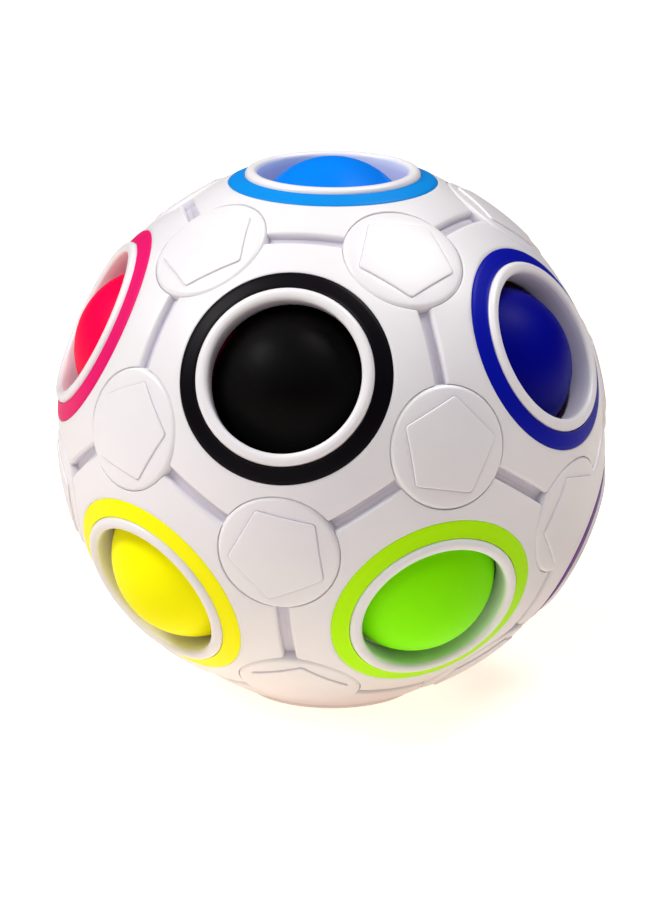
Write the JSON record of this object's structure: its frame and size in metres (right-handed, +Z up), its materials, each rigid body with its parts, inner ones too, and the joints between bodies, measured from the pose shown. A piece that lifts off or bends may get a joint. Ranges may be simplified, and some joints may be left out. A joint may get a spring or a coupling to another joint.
{
  "type": "ball-transfer colour puzzle",
  "caption": "Hollow white ball with round holes ringed in colours, holding coloured balls and one empty hole; balls press in and roll to the empty hole.",
  "frame": {"origin": "centre of the underside: on the table, below the centre of the ball, at the middle of the flat lip of the empty bottom hole", "axes": "+Z up through the opposite hole; -Y towards the hole that faces the viewer"},
  "size_m": [0.0702, 0.071, 0.0702],
  "materials": {
    "shell_white": "injection-moulded white ABS, semi-gloss",
    "cap_white": "injection-moulded white ABS, semi-gloss",
    "core_rubber": "soft closed-cell silicone, matt",
    "screw_steel": "zinc-plated steel",
    "nut_plastic": "grey moulded nylon",
    "ring_sky_blue": "satin moulded plastic, sky blue",
    "ring_black": "satin moulded plastic, black",
    "ring_dark_blue": "satin moulded plastic, dark blue",
    "ring_orange": "satin moulded plastic, orange",
    "ring_green": "satin moulded plastic, green",
    "ring_crimson": "satin moulded plastic, crimson",
    "ring_lime": "satin moulded plastic, lime",
    "ring_purple": "satin moulded plastic, purple",
    "ring_brown": "satin moulded plastic, brown",
    "ring_pink": "satin moulded plastic, pink",
    "ring_yellow": "satin moulded plastic, yellow",
    "ring_white": "satin moulded plastic, white",
    "ball_sky_blue": "satin moulded plastic, sky blue",
    "ball_black": "satin moulded plastic, black",
    "ball_dark_blue": "satin moulded plastic, dark blue",
    "ball_orange": "satin moulded plastic, orange",
    "ball_green": "satin moulded plastic, green",
    "ball_crimson": "satin moulded plastic, crimson",
    "ball_lime": "satin moulded plastic, lime",
    "ball_purple": "satin moulded plastic, purple",
    "ball_brown": "satin moulded plastic, brown",
    "ball_pink": "satin moulded plastic, pink",
    "ball_yellow": "satin moulded plastic, yellow"
  },
  "bodies": {
    "shell": {"panel_sky_blue": "shell_white", "panel_black": "shell_white", "panel_dark_blue": "shell_white", "panel_orange": "shell_white", "panel_green": "shell_white", "panel_crimson": "shell_white", "panel_lime": "shell_white", "panel_purple": "shell_white", "panel_brown": "shell_white", "panel_pink": "shell_white", "panel_yellow": "shell_white", "panel_white": "shell_white", "ring_sky_blue": "ring_sky_blue", "ring_black": "ring_black", "ring_dark_blue": "ring_dark_blue", "ring_orange": "ring_orange", "ring_green": "ring_green", "ring_crimson": "ring_crimson", "ring_lime": "ring_lime", "ring_purple": "ring_purple", "ring_brown": "ring_brown", "ring_pink": "ring_pink", "ring_yellow": "ring_yellow", "ring_white": "ring_white", "cap_top_1": "cap_white", "cap_top_2": "cap_white", "cap_top_3": "cap_white", "cap_top_4": "cap_white", "cap_top_5": "cap_white", "cap_upper_1": "cap_white", "cap_upper_2": "cap_white", "cap_upper_3": "cap_white", "cap_upper_4": "cap_white", "cap_upper_5": "cap_white", "cap_lower_1": "cap_white", "cap_lower_2": "cap_white", "cap_lower_3": "cap_white", "cap_lower_4": "cap_white", "cap_lower_5": "cap_white", "cap_bottom_1": "cap_white", "cap_bottom_2": "cap_white", "cap_bottom_3": "cap_white", "cap_bottom_4": "cap_white", "cap_bottom_5": "cap_white", "core": "core_rubber", "corner_screws": "screw_steel", "corner_nuts": "nut_plastic"},
    "ball_sky_blue": {"ball_sky_blue": "ball_sky_blue"},
    "ball_black": {"ball_black": "ball_black"},
    "ball_dark_blue": {"ball_dark_blue": "ball_dark_blue"},
    "ball_orange": {"ball_orange": "ball_orange"},
    "ball_green": {"ball_green": "ball_green"},
    "ball_crimson": {"ball_crimson": "ball_crimson"},
    "ball_lime": {"ball_lime": "ball_lime"},
    "ball_purple": {"ball_purple": "ball_purple"},
    "ball_brown": {"ball_brown": "ball_brown"},
    "ball_pink": {"ball_pink": "ball_pink"},
    "ball_yellow": {"ball_yellow": "ball_yellow"}
  },
  "joints": [
    {"name": "ball_sky_blue_press", "type": "slide", "parent": "shell", "child": "ball_sky_blue", "axis": [0, 0, -1], "range_m": [-0.0011, 0.0045], "stiffness_N_per_m": 350, "deforming": ["core"]},
    {"name": "ball_black_press", "type": "slide", "parent": "shell", "child": "ball_black", "axis": [0, 0.8944, -0.4472], "range_m": [-0.0011, 0.0045], "stiffness_N_per_m": 350, "deforming": ["core"]},
    {"name": "ball_dark_blue_press", "type": "slide", "parent": "shell", "child": "ball_dark_blue", "axis": [-0.8507, 0.2764, -0.4472], "range_m": [-0.0011, 0.0045], "stiffness_N_per_m": 350, "deforming": ["core"]},
    {"name": "ball_orange_press", "type": "slide", "parent": "shell", "child": "ball_orange", "axis": [-0.5257, -0.7236, -0.4472], "range_m": [-0.0011, 0.0045], "stiffness_N_per_m": 350, "deforming": ["core"]},
    {"name": "ball_green_press", "type": "slide", "parent": "shell", "child": "ball_green", "axis": [0.5257, -0.7236, -0.4472], "range_m": [-0.0011, 0.0045], "stiffness_N_per_m": 350, "deforming": ["core"]},
    {"name": "ball_crimson_press", "type": "slide", "parent": "shell", "child": "ball_crimson", "axis": [0.8507, 0.2764, -0.4472], "range_m": [-0.0011, 0.0045], "stiffness_N_per_m": 350, "deforming": ["core"]},
    {"name": "ball_lime_transfer", "type": "hinge", "parent": "shell", "child": "ball_lime", "pos_m": [0.01298, -0.01786, -0.00133], "axis": [-0.809, -0.5878, 0], "range_deg": [0, 71.21], "deforming": ["core"]},
    {"name": "ball_purple_press", "type": "slide", "parent": "shell", "child": "ball_purple", "axis": [-0.8507, -0.2764, 0.4472], "range_m": [0, 0.0022], "stiffness_N_per_m": 350, "springref_m": -0.0005, "deforming": ["core"]},
    {"name": "ball_brown_press", "type": "slide", "parent": "shell", "child": "ball_brown", "axis": [0, -0.8944, 0.4472], "range_m": [0, 0.0045], "stiffness_N_per_m": 350, "springref_m": -0.0005, "deforming": ["core"]},
    {"name": "ball_pink_press", "type": "slide", "parent": "shell", "child": "ball_pink", "axis": [0.8507, -0.2764, 0.4472], "range_m": [0, 0.0045], "stiffness_N_per_m": 350, "springref_m": -0.0005, "deforming": ["core"]},
    {"name": "ball_yellow_press", "type": "slide", "parent": "shell", "child": "ball_yellow", "axis": [0.5257, 0.7236, 0.4472], "range_m": [0, 0.0022], "stiffness_N_per_m": 350, "springref_m": -0.0005, "deforming": ["core"]}
  ]
}
